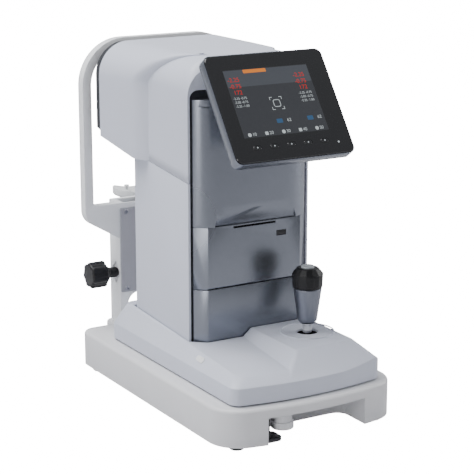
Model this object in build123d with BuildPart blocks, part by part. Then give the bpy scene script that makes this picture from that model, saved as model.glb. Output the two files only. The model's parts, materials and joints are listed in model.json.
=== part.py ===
from build123d import *
import os
from math import cos, radians, sin

# Autorefractor on a sliding stage, in millimetres.
# +X is the operator's right, -Y faces the operator, +Y faces the patient, +Z is up.
# The origin is on the table, under the middle of the whole instrument.

os.makedirs("parts", exist_ok=True)

# ---------------------------------------------------------------- driving dimensions
WALL = 3.0                       # moulded shell thickness
RUN = 0.05                       # radial clearance of every running fit

BASE_HALF = 122.0                # base housing, half width
BASE_FRONT, BASE_BOW = -219.0, 17.0
BASE_REAR = 158.0
BASE_Z0, BASE_Z1 = 6.0, 51.5
TONGUE_HALF, TONGUE_REAR = 72.0, 184.0
POCKET_HALF, POCKET_BACK, POCKET_ROOF = 67.5, -180.0, 39.0
FOOT_R = 9.5
FEET = [(-96, -207), (96, -207), (-108, 128), (108, 128)]
LOCK_X, LOCK_Y = -41.0, -218.0

RAIL_X, RAIL_Z, RAIL_R = 16.0, 61.0, 4.0     # depth rails on the base
RAIL_Y0, RAIL_Y1, RAIL_BLOCK = -68.0, 36.0, 8.0
SLIDE_Y = -5.5                   # centre of the cross slide, lift posts and lift screw
ROD_Z, ROD_PITCH, ROD_R = 79.0, 30.0, 4.0    # lateral rods on the stage

STAGE_HALF = 103.5               # stage cover, half width at the bottom
STAGE_FRONT, STAGE_BOW, STAGE_REAR = -212.0, 12.0, 100.0
STAGE_FRONT_R, STAGE_REAR_R = 14.0, 10.0
STAGE_Z0, STAGE_BAND = 53.6, 74.0
DECK_HALF, DECK_FRONT, DECK_REAR = 90.0, -200.0, 86.0
DECK_Z, DECK_RISE = 84.0, 18.0   # deck height at its front and what it gains by its rear
CONSOLE_Z = 100.5                # flat top round the joystick
JOY_X, JOY_Y, JOY_PIVOT = 45.4, -137.0, 78.0
JOY_HOLE_R, JOY_RING_R = 13.3, 33.5

COL_HALF, COL_FRONT, COL_REAR = 85.0, -75.0, 70.0
COL_Z0 = 71.0                    # hidden lower edge of the column, inside the stage cover
PANEL_FACE, PANEL_FLAT, PANEL_HALF = -88.0, 65.3, 79.2
SEAM_FRONT_Z, SEAM_MID_Z = 287.3, 298.2      # head-to-column seam at the front and at the crease
LOWER_TOP, DOOR_TOP, PANEL_TOP = 155.8, 233.2, 387.5
DOOR_BOTTOM = LOWER_TOP + 0.8
CREASE_Y, HOOD_REAR = 24.0, 125.0
HOOD_HALF, HOOD_TOP, HOOD_FLOOR = 102.0, 434.5, 315.0
FRONT_TOP, CREASE_TOP = 424.0, 435.5
ARCH_TOP = 398.0
OPTIC_Z = 356.0                  # height of the measuring axis
BEZEL_REAR, WINDOW_R = 137.0, 28.0

POST_X, POST_R, POST_TOP = 58.0, 6.0, 245.0
BRIDGE_Z0, BRIDGE_Z1 = 86.5, 90.0
SCREW_R = 5.0

MON_Y, MON_Z, MON_TILT = -144.3, 385.2, 35.5  # centre of the glass and its lean
GLASS_W, GLASS_H, GLASS_T = 160.0, 137.0, 2.2
SHELL_DEPTH = 19.0
HINGE_Y, HINGE_Z = -103.0, 392.5
KEY_X0, KEY_STEP, KEY_V = -48.7, 22.9, -51.0
KEY_COUNT = 5

FRAME_Y0, FRAME_DEPTH = 147.0, 14.0           # headrest loop
FRAME_HALF, FRAME_BAR, FRAME_TOP = 114.8, 12.0, 435.5
CROSS_Z = 217.6
TRUNK_HALF, TRUNK_REAR = 66.0, 180.0
TRUNK_FACE = 147.0
LEG, ARCH_Z = 11.0, 94.0
CHIN_Y, CHIN_Z, CHIN_DEPTH = 210.0, 211.0, 52.0
CARRIAGE_Z, CHIN_TRAVEL = 173.0, 30.0
GUIDE_X, GUIDE_Y, GUIDE_R = 30.0, 168.3, 3.0
KNOB_X, KNOB_Y, KNOB_Z = -95.0, 160.0, 121.5
BEVEL_R, BEVEL_TEETH = 9.0, 12                # pitch radius and teeth of the chin drive gears


def write(piece, label):
    """Label a finished piece and write it as its own STEP file."""
    piece.part.label = label
    export_step(piece.part, f"parts/{label}.step")


def bowed_outline(half, front, bow, rear, front_r, rear_r):
    """Flat outline with a bowed front edge and four rounded corners."""
    with BuildSketch() as outline:
        with BuildLine():
            ThreePointArc((-half, front), (0, front - bow), (half, front))
            Polyline((half, front), (half, rear), (-half, rear), (-half, front))
        make_face()
        fillet(outline.vertices().group_by(Axis.Y)[0], front_r)
        fillet(outline.vertices().group_by(Axis.Y)[-1], rear_r)
    return outline.sketch


def panel_outline(inset):
    """Plan of the flat front panels: a straight front with one slanted facet at each side."""
    back = COL_FRONT + 2.0
    with BuildSketch() as outline:
        with BuildLine():
            Polyline(
                (-PANEL_HALF + inset, back),
                (-PANEL_HALF + inset, COL_FRONT - 1.5 + inset / 2),
                (-PANEL_FLAT + inset / 2, PANEL_FACE + inset),
                (PANEL_FLAT - inset / 2, PANEL_FACE + inset),
                (PANEL_HALF - inset, COL_FRONT - 1.5 + inset / 2),
                (PANEL_HALF - inset, back),
                close=True,
            )
        make_face()
    return outline.sketch


def head_section(y, half, top, radius):
    """Cross-section of the head at one depth: flat sides under two big shoulders."""
    low = 270.0
    with BuildSketch(Plane.XZ.offset(-y)) as section:
        with BuildLine():
            Polyline((-half, low), (-half, top - radius))
            RadiusArc((-half, top - radius), (-half + radius, top), radius)
            Line((-half + radius, top), (half - radius, top))
            RadiusArc((half - radius, top), (half, top - radius), radius)
            Polyline((half, top - radius), (half, low), (-half, low))
        make_face()
    return section.sketch


def head_floor(lift):
    """Everything below the head's bottom edge, raised by lift; the edge follows the seam and the hood."""
    with BuildPart() as floor:
        with BuildSketch(Plane.YZ.offset(-130)):
            with BuildLine():
                Polyline(
                    (COL_FRONT - 20, 0),
                    (COL_FRONT - 20, SEAM_FRONT_Z - 2 + lift),
                    (COL_FRONT, SEAM_FRONT_Z + lift),
                    (CREASE_Y, SEAM_MID_Z + lift),
                    (COL_REAR - 27, SEAM_MID_Z + 0.5 + lift),
                    (HOOD_REAR, HOOD_FLOOR + lift),
                    (HOOD_REAR + 30, HOOD_FLOOR + 6 + lift),
                    (HOOD_REAR + 30, 0),
                    close=True,
                )
            make_face()
        extrude(amount=260)
    return floor.part


def head_solid(inset):
    """The head as a solid: a narrow front and a hood that swells out behind the crease."""
    with BuildPart() as solid:
        add(head_section(COL_FRONT + inset, COL_HALF - inset, FRONT_TOP - inset, 34 - inset))
        add(head_section(COL_FRONT + 5, COL_HALF - inset, CREASE_TOP - 3.5 - inset, 38 - inset))
        add(head_section(COL_FRONT + 14, COL_HALF - inset, CREASE_TOP - inset, 40 - inset))
        loft()
        add(head_section(COL_FRONT + 14, COL_HALF - inset, CREASE_TOP - inset, 40 - inset))
        add(head_section(CREASE_Y, COL_HALF - inset, CREASE_TOP - inset, 40 - inset))
        loft(ruled=True)
        add(head_section(CREASE_Y, COL_HALF - inset, CREASE_TOP - inset, 40 - inset))
        add(head_section(CREASE_Y + 10, COL_HALF + 7 - inset, CREASE_TOP - inset, 41 - inset))
        add(head_section(CREASE_Y + 26, COL_HALF + 12 - inset, CREASE_TOP - inset, 42 - inset))
        loft()
        add(head_section(CREASE_Y + 26, COL_HALF + 12 - inset, CREASE_TOP - inset, 42 - inset))
        add(head_section(HOOD_REAR, HOOD_HALF - inset, HOOD_TOP - inset, 42 - inset))
        loft(ruled=True)
    return solid.part


def head_cavity():
    """The room inside the head cover, open at the rear and closed by a floor under the hood."""
    with BuildPart() as cavity:
        add(head_solid(WALL))
        add(head_floor(WALL), mode=Mode.SUBTRACT)
    return cavity.part


def console_solid(inset, band):
    """The raised joystick console, kept inside the outline of the stage's band."""
    with BuildPart() as console:
        with BuildSketch(Plane.XY.offset(STAGE_BAND)) as foot:
            with Locations((33.2, -140.5)):
                Rectangle(140.6 - 2 * inset, 163 - 2 * inset)
        with BuildSketch(Plane.XY.offset(CONSOLE_Z - inset)) as top:
            with Locations((35.0, -126.0)):
                Rectangle(82 - 2 * inset, 134 - 2 * inset)
        loft(ruled=True)
        fillet(console.edges().filter_by(lambda e: e.bounding_box().size.Z > 5), 9 - inset)
        with BuildSketch(Plane.XY.offset(STAGE_BAND)):
            add(band)
        extrude(amount=60, mode=Mode.INTERSECT)
    return console.part


def stage_solid(inset):
    """The stage cover as a solid: straight band, bevelled and sloping deck, raised joystick console."""
    slope = Plane(
        origin=(0, DECK_FRONT, DECK_Z - inset),
        x_dir=(1, 0, 0),
        z_dir=(0, -DECK_RISE, DECK_REAR - DECK_FRONT),
    )
    band = bowed_outline(
        STAGE_HALF - inset, STAGE_FRONT + inset, STAGE_BOW, STAGE_REAR - inset,
        STAGE_FRONT_R - inset, STAGE_REAR_R - inset,
    )
    deck = bowed_outline(DECK_HALF - inset, inset, 9, DECK_REAR - DECK_FRONT - inset, 12, 9)
    with BuildPart() as solid:
        with BuildSketch(Plane.XY.offset(STAGE_Z0)):
            add(band)
        extrude(amount=STAGE_BAND - STAGE_Z0)
        with BuildSketch(Plane.XY.offset(STAGE_BAND)):
            add(band)
        with BuildSketch(slope):
            add(deck)
        loft(ruled=True)
        add(console_solid(inset, band))
    return solid.part


def bevel_outline(scale, start):
    """Toothed outline of one end of a bevel gear, scaled towards the point of its cone."""
    root = BEVEL_R - 1.3
    with BuildSketch() as outline:
        Circle(root * scale)
        with PolarLocations(0, BEVEL_TEETH, start_angle=start):
            with BuildLine():
                Polyline(
                    ((root - 0.4) * scale, -1.25 * scale),
                    ((BEVEL_R + 0.9) * scale, -0.6 * scale),
                    ((BEVEL_R + 0.9) * scale, 0.6 * scale),
                    ((root - 0.4) * scale, 1.25 * scale),
                    close=True,
                )
            make_face()
    return outline.sketch


# ================================================================ base, fixed to the table
with BuildPart() as base_housing:
    with BuildSketch(Plane.XY.offset(BASE_Z0)):
        add(bowed_outline(BASE_HALF, BASE_FRONT, BASE_BOW, BASE_REAR, 40, 18))
        with Locations((0, TONGUE_REAR - 32)):
            RectangleRounded(2 * TONGUE_HALF, 64, 7)
    extrude(amount=BASE_Z1 - BASE_Z0)
    fillet(base_housing.faces().sort_by(Axis.Z)[-1].edges(), 4.5)
    hollow = bowed_outline(BASE_HALF - 3.5, BASE_FRONT + 3.5, BASE_BOW, BASE_REAR - 3.5, 36.5, 14.5)
    with BuildSketch(Plane.XY.offset(BASE_Z0)):
        add(hollow)
        with Locations((0, POCKET_BACK - 40 + WALL)):
            Rectangle(2 * (POCKET_HALF + WALL), 80, mode=Mode.SUBTRACT)
    extrude(amount=POCKET_ROOF + WALL - BASE_Z0, mode=Mode.SUBTRACT)
    with BuildSketch(Plane.XY.offset(POCKET_ROOF + WALL)):
        add(hollow)
    extrude(amount=BASE_Z1 - WALL - 0.5 - POCKET_ROOF - WALL, mode=Mode.SUBTRACT)
    with BuildSketch(Plane.XY.offset(BASE_Z0)) as pocket:
        with Locations((0, POCKET_BACK - 40)):
            Rectangle(2 * POCKET_HALF, 80)
        fillet(pocket.vertices().group_by(Axis.Y)[-1], 15)
    extrude(amount=POCKET_ROOF - BASE_Z0, mode=Mode.SUBTRACT)
    with Locations((LOCK_X, LOCK_Y, 45)):
        Cylinder(3 + RUN, 30, mode=Mode.SUBTRACT)
    with Locations((88, BASE_REAR, 29)):
        Box(27, 12, 20, mode=Mode.SUBTRACT)
    with Locations((-88, BASE_REAR, 29)):
        Box(15, 12, 21, mode=Mode.SUBTRACT)
write(base_housing, "base_housing")

with BuildPart() as bottom_plate:
    with BuildSketch(Plane.XY.offset(BASE_Z0)):
        add(bowed_outline(BASE_HALF - 3.8, BASE_FRONT + 3.8, BASE_BOW, BASE_REAR - 3.8, 36, 14))
        with Locations((0, POCKET_BACK - 40 + WALL + 0.3)):
            Rectangle(2 * (POCKET_HALF + WALL + 0.3), 80, mode=Mode.SUBTRACT)
    extrude(amount=2)
write(bottom_plate, "bottom_plate")

with BuildPart() as rubber_feet:
    with Locations(*[(x, y, BASE_Z0 / 2) for x, y in FEET]):
        Cylinder(FOOT_R, BASE_Z0)
    chamfer(rubber_feet.faces().filter_by(Axis.Z).group_by(Axis.Z)[0].edges(), 1.5)
write(rubber_feet, "rubber_feet")

with BuildPart() as depth_rails:
    span = RAIL_Y1 - RAIL_Y0
    for x in (-RAIL_X, RAIL_X):
        with Locations((x, (RAIL_Y0 + RAIL_Y1) / 2, RAIL_Z)):
            Cylinder(RAIL_R, span, rotation=(90, 0, 0))
        for y in (RAIL_Y0 + RAIL_BLOCK / 2, RAIL_Y1 - RAIL_BLOCK / 2):
            with Locations((x, y, (BASE_Z1 + RAIL_Z + 6) / 2)):
                Box(13, RAIL_BLOCK, RAIL_Z + 6 - BASE_Z1)
write(depth_rails, "depth_rails")

with BuildPart() as inlet_socket:
    with Locations((88, BASE_REAR - 9, 29)):
        Box(26.6, 18, 19.6)
    with BuildSketch(Plane.XZ.offset(-BASE_REAR)):
        with Locations((88, 29)):
            RectangleRounded(31, 24, 2)
    extrude(amount=-2)
    with BuildSketch(Plane.XZ.offset(-BASE_REAR - 2)) as mouth:
        with Locations((88, 29)):
            Rectangle(22.5, 15)
        chamfer(mouth.vertices().group_by(Axis.Y)[-1], 4)
    extrude(amount=16, mode=Mode.SUBTRACT)
    with Locations((81, BASE_REAR - 10, 27), (95, BASE_REAR - 10, 27), (88, BASE_REAR - 10, 31.5)):
        Box(2, 8.2, 4)
write(inlet_socket, "inlet_socket")

with BuildPart() as lock_bracket:
    with BuildSketch(Plane.XY.offset(8)) as shoe:
        with Locations((-POCKET_HALF + 10, -219)):
            Rectangle(20, 24)
        fillet(shoe.vertices().group_by(Axis.X)[-1], 6)
    extrude(amount=5)
    with Locations((-POCKET_HALF + 1.5, -219, 24)):
        Box(3, 20, 24)
    fillet(lock_bracket.faces().sort_by(Axis.Z)[0].edges(), 1)
write(lock_bracket, "lock_bracket")

with BuildPart() as power_rocker:
    lean = Plane(origin=(-88, BASE_REAR - 3, 29), x_dir=(0, cos(radians(7)), sin(radians(7))), z_dir=(1, 0, 0))
    with BuildSketch(lean.offset(-7)):
        with BuildLine():
            Polyline((-5, -6), (0, -9.8), (4.5, -9.8), (2.6, 0), (4.5, 9.8), (0, 9.8), (-5, 6), close=True)
        make_face()
    extrude(amount=14)
write(power_rocker, "power_rocker")

with BuildPart() as lock_knob:
    with Locations((LOCK_X, LOCK_Y, 24)):
        Cylinder(13.5, 9)
    with Locations((LOCK_X, LOCK_Y, 33.2)):
        Cylinder(11.7, 9.4)
    fillet(lock_knob.edges().filter_by(GeomType.CIRCLE).group_by(SortBy.RADIUS)[-1], 0.9)
    with Locations((LOCK_X, LOCK_Y, 42.5)):
        Cylinder(3, 17.4)
write(lock_knob, "lock_knob")

# ================================================================ headrest, fixed to the base
with BuildPart() as headrest_frame:
    outer_low, inner = 199.0, FRAME_HALF - FRAME_BAR
    with BuildSketch(Plane.XZ.offset(-FRAME_Y0)) as loop:
        with BuildLine():
            Polyline(
                (-TRUNK_HALF, 120), (-TRUNK_HALF, 170), (-FRAME_HALF, outer_low), (-FRAME_HALF, FRAME_TOP),
                (FRAME_HALF, FRAME_TOP), (FRAME_HALF, outer_low), (TRUNK_HALF, 170), (TRUNK_HALF, 120),
                close=True,
            )
        make_face()
        fillet(loop.vertices().group_by(Axis.Y)[-1], 60)
        fillet(loop.vertices().filter_by(lambda v: abs(v.Y - outer_low) < 1), 22)
    extrude(amount=-FRAME_DEPTH)
    with BuildSketch(Plane.XZ.offset(-FRAME_Y0)) as face_space:
        with Locations((0, (CROSS_Z + FRAME_TOP - 13) / 2)):
            Rectangle(2 * inner, FRAME_TOP - 13 - CROSS_Z)
        fillet(face_space.vertices().group_by(Axis.Y)[-1], 47)
        fillet(face_space.vertices().group_by(Axis.Y)[0], 4)
    extrude(amount=-FRAME_DEPTH, mode=Mode.SUBTRACT)
    with BuildSketch(Plane.XZ.offset(-TRUNK_FACE)) as trunk:
        with Locations((0, (BASE_Z1 + CROSS_Z) / 2)):
            Rectangle(2 * TRUNK_HALF, CROSS_Z - BASE_Z1)
        with Locations((0, (BASE_Z1 + ARCH_Z) / 2 - 10)):
            Rectangle(2 * (TRUNK_HALF - LEG), ARCH_Z - BASE_Z1 + 20, mode=Mode.SUBTRACT)
        fillet(trunk.vertices().filter_by(lambda v: abs(v.Y - ARCH_Z) < 1), 17)
    extrude(amount=-(TRUNK_REAR - TRUNK_FACE))
    fillet(headrest_frame.edges().filter_by(Axis.Z).group_by(Axis.Y)[-1], 4)
    with BuildSketch(Plane.XZ.offset(-FRAME_Y0 - FRAME_DEPTH)):
        with Locations((0, FRAME_TOP - 23.5)):
            RectangleRounded(124, 34, 12)
    extrude(amount=-3)
    with Locations((0, (150 + 172) / 2, (100 + 218) / 2)):
        Box(116, 22, 118, mode=Mode.SUBTRACT)
    with Locations((0, 149, (100 + 205) / 2)):
        Box(116, 6, 105, mode=Mode.SUBTRACT)
    with Locations((0, TRUNK_REAR - 3, CARRIAGE_Z)):
        Box(16, 20, 2 * CHIN_TRAVEL + 13, mode=Mode.SUBTRACT)
    with Locations((-50, KNOB_Y, KNOB_Z)):
        Box(18, 18, 18)
    with Locations((-TRUNK_HALF, KNOB_Y, KNOB_Z)):
        Box(4, 22, 22, rotation=(45, 0, 0), mode=Mode.SUBTRACT)
    with Locations((-55, KNOB_Y, KNOB_Z)):
        Cylinder(5 + RUN, 40, rotation=(0, 90, 0), mode=Mode.SUBTRACT)
    with Locations((0, KNOB_Y, 97)):
        Cylinder(4 + RUN, 12, mode=Mode.SUBTRACT)
    with Locations((0, KNOB_Y, 219)):
        Cylinder(4 + RUN, 3, mode=Mode.SUBTRACT)
write(headrest_frame, "headrest_frame")

PLATE_Z = (96.0 + 211.0) / 2
SCREW_SPOTS = [(x, z) for x in (-57, 57) for z in (101, 206)]

with BuildPart() as trunk_plate:
    with BuildSketch(Plane.XZ.offset(-TRUNK_FACE)):
        with Locations((0, PLATE_Z)):
            RectangleRounded(131, 115, 2)
    extrude(amount=2)
    chamfer(trunk_plate.faces().sort_by(Axis.Y)[0].edges(), 0.5)
write(trunk_plate, "trunk_plate")

with BuildPart() as trunk_screws:
    with BuildSketch(Plane.XZ.offset(2 - TRUNK_FACE)):
        with Locations(*SCREW_SPOTS):
            Circle(3.2)
    extrude(amount=1.3)
    fillet(trunk_screws.faces().filter_by(Axis.Y).group_by(Axis.Y)[0].edges(), 0.8)
    with BuildSketch(Plane.XZ.offset(3.3 - TRUNK_FACE)):
        with Locations(*SCREW_SPOTS):
            Rectangle(3.4, 0.7)
            Rectangle(0.7, 3.4)
    extrude(amount=-0.8, mode=Mode.SUBTRACT)
write(trunk_screws, "trunk_screws")

with BuildPart() as chin_guides:
    with Locations((-GUIDE_X, GUIDE_Y, 159), (GUIDE_X, GUIDE_Y, 159)):
        Cylinder(GUIDE_R, 118)
write(chin_guides, "chin_guides")

with BuildPart() as forehead_pad:
    with BuildSketch(Plane.XY.offset(397.5)) as pad:
        front = FRAME_Y0 + FRAME_DEPTH + 3
        with BuildLine():
            Polyline((-56, front + 11), (-56, front), (56, front), (56, front + 11))
            ThreePointArc((56, front + 11), (0, front + 6), (-56, front + 11))
        make_face()
    extrude(amount=24)
    fillet(forehead_pad.edges().filter_by(Axis.Z).group_by(Axis.Y)[-1], 3)
write(forehead_pad, "forehead_pad")

# ================================================================ chin rest and its drive
with BuildPart() as chin_knob:
    with BuildSketch(Plane.YZ.offset(KNOB_X - 12)) as lobes:
        with Locations((KNOB_Y, KNOB_Z)):
            Circle(16.0)
            with PolarLocations(12.8, 7, start_angle=90):
                Circle(5.0)
        fillet(lobes.vertices(), 1.7)
    extrude(amount=24)
    fillet(chin_knob.faces().filter_by(Axis.X).edges(), 3)
    with Locations((KNOB_X + 15.5, KNOB_Y, KNOB_Z)):
        Cone(12, 7, 7, rotation=(0, 90, 0))
    with Locations((KNOB_X + 23.6, KNOB_Y, KNOB_Z)):
        Cylinder(7, 9.6, rotation=(0, 90, 0))
    with Locations((KNOB_X + 11.5, KNOB_Y, KNOB_Z)):
        Cylinder(5, 35, rotation=(0, 90, 0), mode=Mode.SUBTRACT)
write(chin_knob, "chin_knob")

with BuildPart() as chin_shaft:
    with BuildSketch(Plane.YZ.offset(KNOB_X - 6)):
        with Locations((KNOB_Y, KNOB_Z)):
            Circle(5)
    extrude(amount=-BEVEL_R - KNOB_X + 6)
    with BuildSketch(Plane.YZ.offset(-BEVEL_R)):
        with Locations((KNOB_Y, KNOB_Z)):
            add(bevel_outline(1, 90))
    with BuildSketch(Plane.YZ.offset(-BEVEL_R + 3.6)):
        with Locations((KNOB_Y, KNOB_Z)):
            add(bevel_outline(0.6, 90))
    loft(ruled=True)
write(chin_shaft, "chin_shaft")

with BuildPart() as chin_screw:
    with Locations((0, KNOB_Y, 156)):
        Cylinder(4, 126)
    with BuildSketch(Plane.XY.offset(KNOB_Z - BEVEL_R)):
        with Locations((0, KNOB_Y)):
            add(bevel_outline(1, 15))
    with BuildSketch(Plane.XY.offset(KNOB_Z - BEVEL_R + 3.6)):
        with Locations((0, KNOB_Y)):
            add(bevel_outline(0.6, 15))
    loft(ruled=True)
    with Locations((0, KNOB_Y, 108)):
        Cylinder(6, 8)
write(chin_screw, "chin_screw")

with BuildPart() as chin_carriage:
    with Locations((0, 161, CARRIAGE_Z)):
        Box(78, 21, 16)
    with Locations((0, (KNOB_Y + CHIN_Y) / 2 + 6, CARRIAGE_Z)):
        Box(14, CHIN_Y - KNOB_Y + 4, 10)
    with Locations((0, CHIN_Y, (CARRIAGE_Z + CHIN_Z) / 2 - 3)):
        Cylinder(7, CHIN_Z - CARRIAGE_Z + 4)
    with Locations((0, KNOB_Y, CARRIAGE_Z)):
        Cylinder(4 + RUN, 20, mode=Mode.SUBTRACT)
    with Locations((-GUIDE_X, GUIDE_Y, CARRIAGE_Z), (GUIDE_X, GUIDE_Y, CARRIAGE_Z)):
        Cylinder(GUIDE_R + RUN, 20, mode=Mode.SUBTRACT)
write(chin_carriage, "chin_carriage")

with BuildPart() as chin_cup:
    with BuildSketch(Plane.XY.offset(CHIN_Z)):
        with Locations((0, CHIN_Y)):
            RectangleRounded(78, CHIN_DEPTH, 20)
    extrude(amount=11.5)
    fillet(chin_cup.faces().sort_by(Axis.Z)[0].edges(), 5)
    with Locations((0, CHIN_Y, CHIN_Z + 6.5 + 90)):
        Cylinder(90, CHIN_DEPTH + 10, rotation=(90, 0, 0), mode=Mode.SUBTRACT)
write(chin_cup, "chin_cup")

# ================================================================ cross slide
with BuildPart() as cross_slide:
    for x in (-RAIL_X, RAIL_X):
        with Locations((x, SLIDE_Y, RAIL_Z)):
            Box(14, 46, 14)
    with Locations((0, SLIDE_Y, 69.5)):
        Box(48, 46, 3)
    for y in (SLIDE_Y - ROD_PITCH / 2, SLIDE_Y + ROD_PITCH / 2):
        with Locations((0, y, 78.5)):
            Box(48, 14, 15)
    for x in (-RAIL_X, RAIL_X):
        with Locations((x, SLIDE_Y, RAIL_Z)):
            Cylinder(RAIL_R + RUN, 60, rotation=(90, 0, 0), mode=Mode.SUBTRACT)
    for y in (SLIDE_Y - ROD_PITCH / 2, SLIDE_Y + ROD_PITCH / 2):
        with Locations((0, y, ROD_Z)):
            Cylinder(ROD_R + RUN, 60, rotation=(0, 90, 0), mode=Mode.SUBTRACT)
write(cross_slide, "cross_slide")

# ================================================================ stage
with BuildPart() as stage_cover:
    add(stage_solid(0))
    add(stage_solid(WALL), mode=Mode.SUBTRACT)
    with BuildSketch(Plane.XY.offset(STAGE_Z0 - 5)):
        with BuildLine():
            Polyline(
                (-COL_HALF - 0.9, COL_REAR + 0.9),
                (-COL_HALF - 0.9, COL_FRONT - 0.9),
                (-PANEL_FLAT - 1, PANEL_FACE - 1.4),
                (PANEL_FLAT + 1, PANEL_FACE - 1.4),
                (COL_HALF + 0.9, COL_FRONT - 0.9),
                (COL_HALF + 0.9, COL_REAR + 0.9),
                close=True,
            )
        make_face()
    extrude(amount=70, mode=Mode.SUBTRACT)
    with Locations((JOY_X, JOY_Y, CONSOLE_Z)):
        Cylinder(JOY_HOLE_R, 20, mode=Mode.SUBTRACT)
    with BuildSketch(Plane.XY.offset(CONSOLE_Z)):
        with Locations((JOY_X, JOY_Y)):
            Circle(JOY_RING_R)
            Circle(JOY_RING_R - 1.8, mode=Mode.SUBTRACT)
    extrude(amount=1.2)
write(stage_cover, "stage_cover")

with BuildPart() as stage_chassis:
    with BuildSketch(Plane.XY.offset(STAGE_Z0 + 0.4)):
        add(bowed_outline(STAGE_HALF - 3.6, STAGE_FRONT + 3.6, STAGE_BOW, STAGE_REAR - 3.6, 10.4, 6.4))
        with Locations((0, -8)):
            Rectangle(168, 153, mode=Mode.SUBTRACT)
        with Locations((-77, SLIDE_Y), (77, SLIDE_Y)):
            Rectangle(16, 49)
    extrude(amount=2.5)
    with Locations((-73, SLIDE_Y, (STAGE_Z0 + 0.4 + BRIDGE_Z1) / 2), (73, SLIDE_Y, (STAGE_Z0 + 0.4 + BRIDGE_Z1) / 2)):
        Box(7, 49, BRIDGE_Z1 - STAGE_Z0 - 0.4)
    with Locations((0, SLIDE_Y, (BRIDGE_Z0 + BRIDGE_Z1) / 2)):
        Box(146, 49, BRIDGE_Z1 - BRIDGE_Z0)
    with Locations((-73, SLIDE_Y - ROD_PITCH / 2, ROD_Z), (73, SLIDE_Y - ROD_PITCH / 2, ROD_Z)):
        Cylinder(ROD_R, 20, rotation=(0, 90, 0), mode=Mode.SUBTRACT)
    with Locations((-73, SLIDE_Y + ROD_PITCH / 2, ROD_Z), (73, SLIDE_Y + ROD_PITCH / 2, ROD_Z)):
        Cylinder(ROD_R, 20, rotation=(0, 90, 0), mode=Mode.SUBTRACT)
    with Locations((0, SLIDE_Y, BRIDGE_Z0)):
        Cylinder(4 + RUN, 20, mode=Mode.SUBTRACT)
write(stage_chassis, "stage_chassis")

with BuildPart() as lateral_rods:
    with Locations((0, SLIDE_Y - ROD_PITCH / 2, ROD_Z), (0, SLIDE_Y + ROD_PITCH / 2, ROD_Z)):
        Cylinder(ROD_R, 152, rotation=(0, 90, 0))
write(lateral_rods, "lateral_rods")

with BuildPart() as lift_posts:
    for x in (-POST_X, POST_X):
        with Locations((x, SLIDE_Y, (BRIDGE_Z1 + POST_TOP) / 2)):
            Cylinder(POST_R, POST_TOP - BRIDGE_Z1)
        with Locations((x, SLIDE_Y, BRIDGE_Z1 + 2)):
            Cylinder(POST_R + 4, 4)
    chamfer(lift_posts.faces().filter_by(Axis.Z).group_by(Axis.Z)[-1].edges(), 1)
write(lift_posts, "lift_posts")

MOTOR_X = -32.0
with BuildPart() as lift_motor:
    with Locations((MOTOR_X, SLIDE_Y, BRIDGE_Z1 + 16)):
        Box(28, 28, 32)
    chamfer(lift_motor.edges().filter_by(Axis.Z), 3)
    with Locations((MOTOR_X, SLIDE_Y, BRIDGE_Z1 + 37.5)):
        Cylinder(9, 7)
    with Locations((MOTOR_X, SLIDE_Y, BRIDGE_Z1 + 33)):
        Cylinder(2.5, 4)
write(lift_motor, "lift_motor")

with BuildPart() as lift_belt:
    with BuildSketch(Plane.XY.offset(BRIDGE_Z1 + 35)):
        with Locations((MOTOR_X / 2, SLIDE_Y)):
            SlotCenterToCenter(-MOTOR_X, 2 * 9.1 + 2.4)
            SlotCenterToCenter(-MOTOR_X, 2 * 9.1, mode=Mode.SUBTRACT)
    extrude(amount=5)
write(lift_belt, "lift_belt")

with BuildPart() as lift_screw:
    with Locations((0, SLIDE_Y, (92 + 240) / 2)):
        Cylinder(SCREW_R, 240 - 92)
    with Locations((0, SLIDE_Y, 89.3)):
        Cylinder(4, 5.4)
    with Locations((0, SLIDE_Y, BRIDGE_Z1 + 37.5)):
        Cylinder(9, 7)
write(lift_screw, "lift_screw")

with BuildPart() as joystick_socket:
    floor_z = STAGE_Z0 + 2.9
    with BuildSketch(Plane.XY.offset(floor_z)):
        with Locations((JOY_X, JOY_Y)):
            Circle(21)
    extrude(amount=95.5 - floor_z)
    with BuildSketch(Plane.XY.offset(floor_z + 2)):
        with Locations((JOY_X, JOY_Y)):
            Circle(18.5)
    extrude(amount=40, mode=Mode.SUBTRACT)
    with Locations((JOY_X, JOY_Y, JOY_PIVOT)):
        Cylinder(2 + RUN, 60, rotation=(0, 90, 0), mode=Mode.SUBTRACT)
write(joystick_socket, "joystick_socket")

# ================================================================ joystick
with BuildPart() as joystick_gimbal:
    with Locations((JOY_X, JOY_Y, JOY_PIVOT)):
        Cylinder(14.5, 6)
    with Locations((JOY_X - 16.5, JOY_Y, JOY_PIVOT), (JOY_X + 16.5, JOY_Y, JOY_PIVOT)):
        Cylinder(2, 8, rotation=(0, 90, 0))
    with Locations((JOY_X, JOY_Y, JOY_PIVOT)):
        Cylinder(10.5, 10, mode=Mode.SUBTRACT)
        Cylinder(2 + RUN, 40, rotation=(90, 0, 0), mode=Mode.SUBTRACT)
write(joystick_gimbal, "joystick_gimbal")

with BuildPart() as joystick_shaft:
    with Locations((JOY_X, JOY_Y, (70 + 172) / 2)):
        Cylinder(6, 172 - 70)
    with Locations((JOY_X, JOY_Y, JOY_PIVOT)):
        Cylinder(8.5, 8)
        Cylinder(2, 28, rotation=(90, 0, 0))
write(joystick_shaft, "joystick_shaft")

with BuildPart() as joystick_grip:
    with BuildSketch(Plane.XZ.offset(-JOY_Y)):
        with BuildLine():
            Polyline(
                (JOY_X + 6, 112), (JOY_X + 9.5, 112), (JOY_X + 12, 115.5), (JOY_X + 17.4, 155.8),
                (JOY_X + 16.8, 156.6), (JOY_X + 6, 156.6), close=True,
            )
        make_face()
    revolve(axis=Axis((JOY_X, JOY_Y, 0), (0, 0, 1)))
write(joystick_grip, "joystick_grip")

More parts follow.
